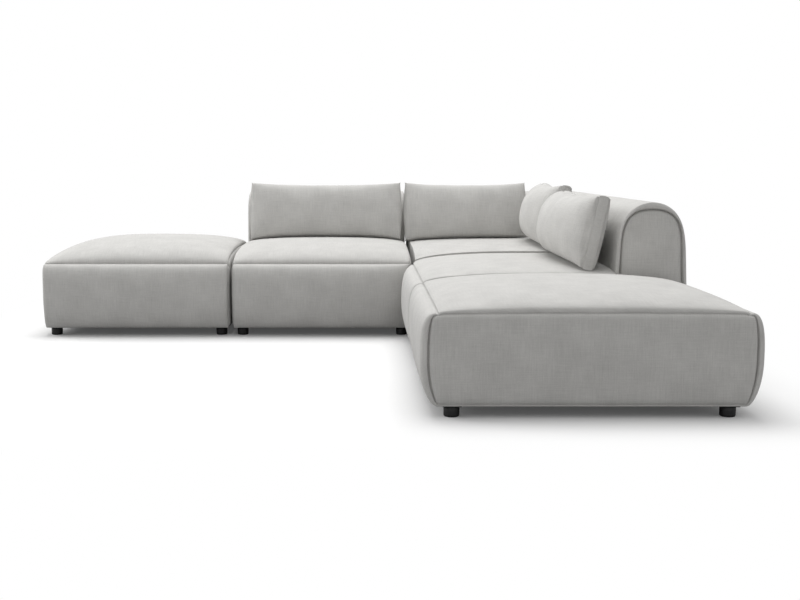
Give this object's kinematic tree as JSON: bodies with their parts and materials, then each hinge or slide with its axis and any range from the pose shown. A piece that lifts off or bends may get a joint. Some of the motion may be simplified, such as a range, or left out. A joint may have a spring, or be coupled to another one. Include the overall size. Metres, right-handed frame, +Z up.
{
  "type": "modular corner sofa",
  "caption": "L-shaped modular sofa of upholstered seats and poufs with low backs, loose boxed back cushions and short round black feet.",
  "frame": {"origin": "on the floor, at the centre of the bounding box of the L", "axes": "+Z up; the back runs along +Y and +X, so one arm of the L runs along X and the other along -Y"},
  "size_m": [2.77, 2.77, 0.7203],
  "materials": {
    "upholstery": "matt woven cloth",
    "timber": "planed softwood",
    "webbing": "elastic webbing",
    "foam": "cut foam",
    "filling": "fibre filling",
    "dust_cloth": "thin black cloth",
    "foot_plastic": "matt black",
    "plated_steel": "black coated steel"
  },
  "bodies": {
    "pouf_left": {"pouf_left_connectors": "plated_steel", "pouf_left_cover": "upholstery", "pouf_left_dust_cover": "dust_cloth", "pouf_left_feet": "foot_plastic", "pouf_left_foam": "foam", "pouf_left_foot_plates": "plated_steel", "pouf_left_frame": "timber", "pouf_left_webbing": "webbing"},
    "seat_left": {"seat_left_back_cover": "upholstery", "seat_left_back_foam": "foam", "seat_left_back_frame": "timber", "seat_left_connectors": "plated_steel", "seat_left_cover": "upholstery", "seat_left_dust_cover": "dust_cloth", "seat_left_feet": "foot_plastic", "seat_left_foam": "foam", "seat_left_foot_plates": "plated_steel", "seat_left_frame": "timber", "seat_left_webbing": "webbing"},
    "corner": {"corner_back_foam": "foam", "corner_back_frame": "timber", "corner_connectors": "plated_steel", "corner_cover": "upholstery", "corner_dust_cover": "dust_cloth", "corner_feet": "foot_plastic", "corner_foam": "foam", "corner_foot_plates": "plated_steel", "corner_frame": "timber", "corner_rear_back_cover": "upholstery", "corner_side_back_cover": "upholstery", "corner_webbing": "webbing"},
    "seat_right": {"seat_right_back_cover": "upholstery", "seat_right_back_foam": "foam", "seat_right_back_frame": "timber", "seat_right_connectors": "plated_steel", "seat_right_cover": "upholstery", "seat_right_dust_cover": "dust_cloth", "seat_right_feet": "foot_plastic", "seat_right_foam": "foam", "seat_right_foot_plates": "plated_steel", "seat_right_frame": "timber", "seat_right_webbing": "webbing"},
    "pouf_right": {"pouf_right_connectors": "plated_steel", "pouf_right_cover": "upholstery", "pouf_right_dust_cover": "dust_cloth", "pouf_right_feet": "foot_plastic", "pouf_right_foam": "foam", "pouf_right_foot_plates": "plated_steel", "pouf_right_frame": "timber", "pouf_right_webbing": "webbing"},
    "cushion_seat_left": {"cushion_seat_left_cover": "upholstery", "cushion_seat_left_filling": "filling"},
    "cushion_corner_rear": {"cushion_corner_rear_cover": "upholstery", "cushion_corner_rear_filling": "filling"},
    "cushion_corner_side": {"cushion_corner_side_cover": "upholstery", "cushion_corner_side_filling": "filling"},
    "cushion_seat_right": {"cushion_seat_right_cover": "upholstery", "cushion_seat_right_filling": "filling"}
  },
  "joints": [
    {"name": "seat_left_pull", "type": "slide", "parent": "corner", "child": "seat_left", "axis": [-1, 0, 0], "range_m": [0, 0.3]},
    {"name": "pouf_left_pull", "type": "slide", "parent": "seat_left", "child": "pouf_left", "axis": [-1, 0, 0], "range_m": [0, 0.3]},
    {"name": "seat_right_pull", "type": "slide", "parent": "corner", "child": "seat_right", "axis": [0, -1, 0], "range_m": [0, 0.3]},
    {"name": "pouf_right_pull", "type": "slide", "parent": "seat_right", "child": "pouf_right", "axis": [0, -1, 0], "range_m": [0, 0.3]},
    {"name": "cushion_seat_left_lift", "type": "slide", "parent": "seat_left", "child": "cushion_seat_left", "axis": [0, 0, 1], "range_m": [0, 0.35]},
    {"name": "cushion_corner_rear_lift", "type": "slide", "parent": "corner", "child": "cushion_corner_rear", "axis": [0, 0, 1], "range_m": [0, 0.35]},
    {"name": "cushion_corner_side_lift", "type": "slide", "parent": "corner", "child": "cushion_corner_side", "axis": [0, 0, 1], "range_m": [0, 0.35]},
    {"name": "cushion_seat_right_lift", "type": "slide", "parent": "seat_right", "child": "cushion_seat_right", "axis": [0, 0, 1], "range_m": [0, 0.35]}
  ]
}
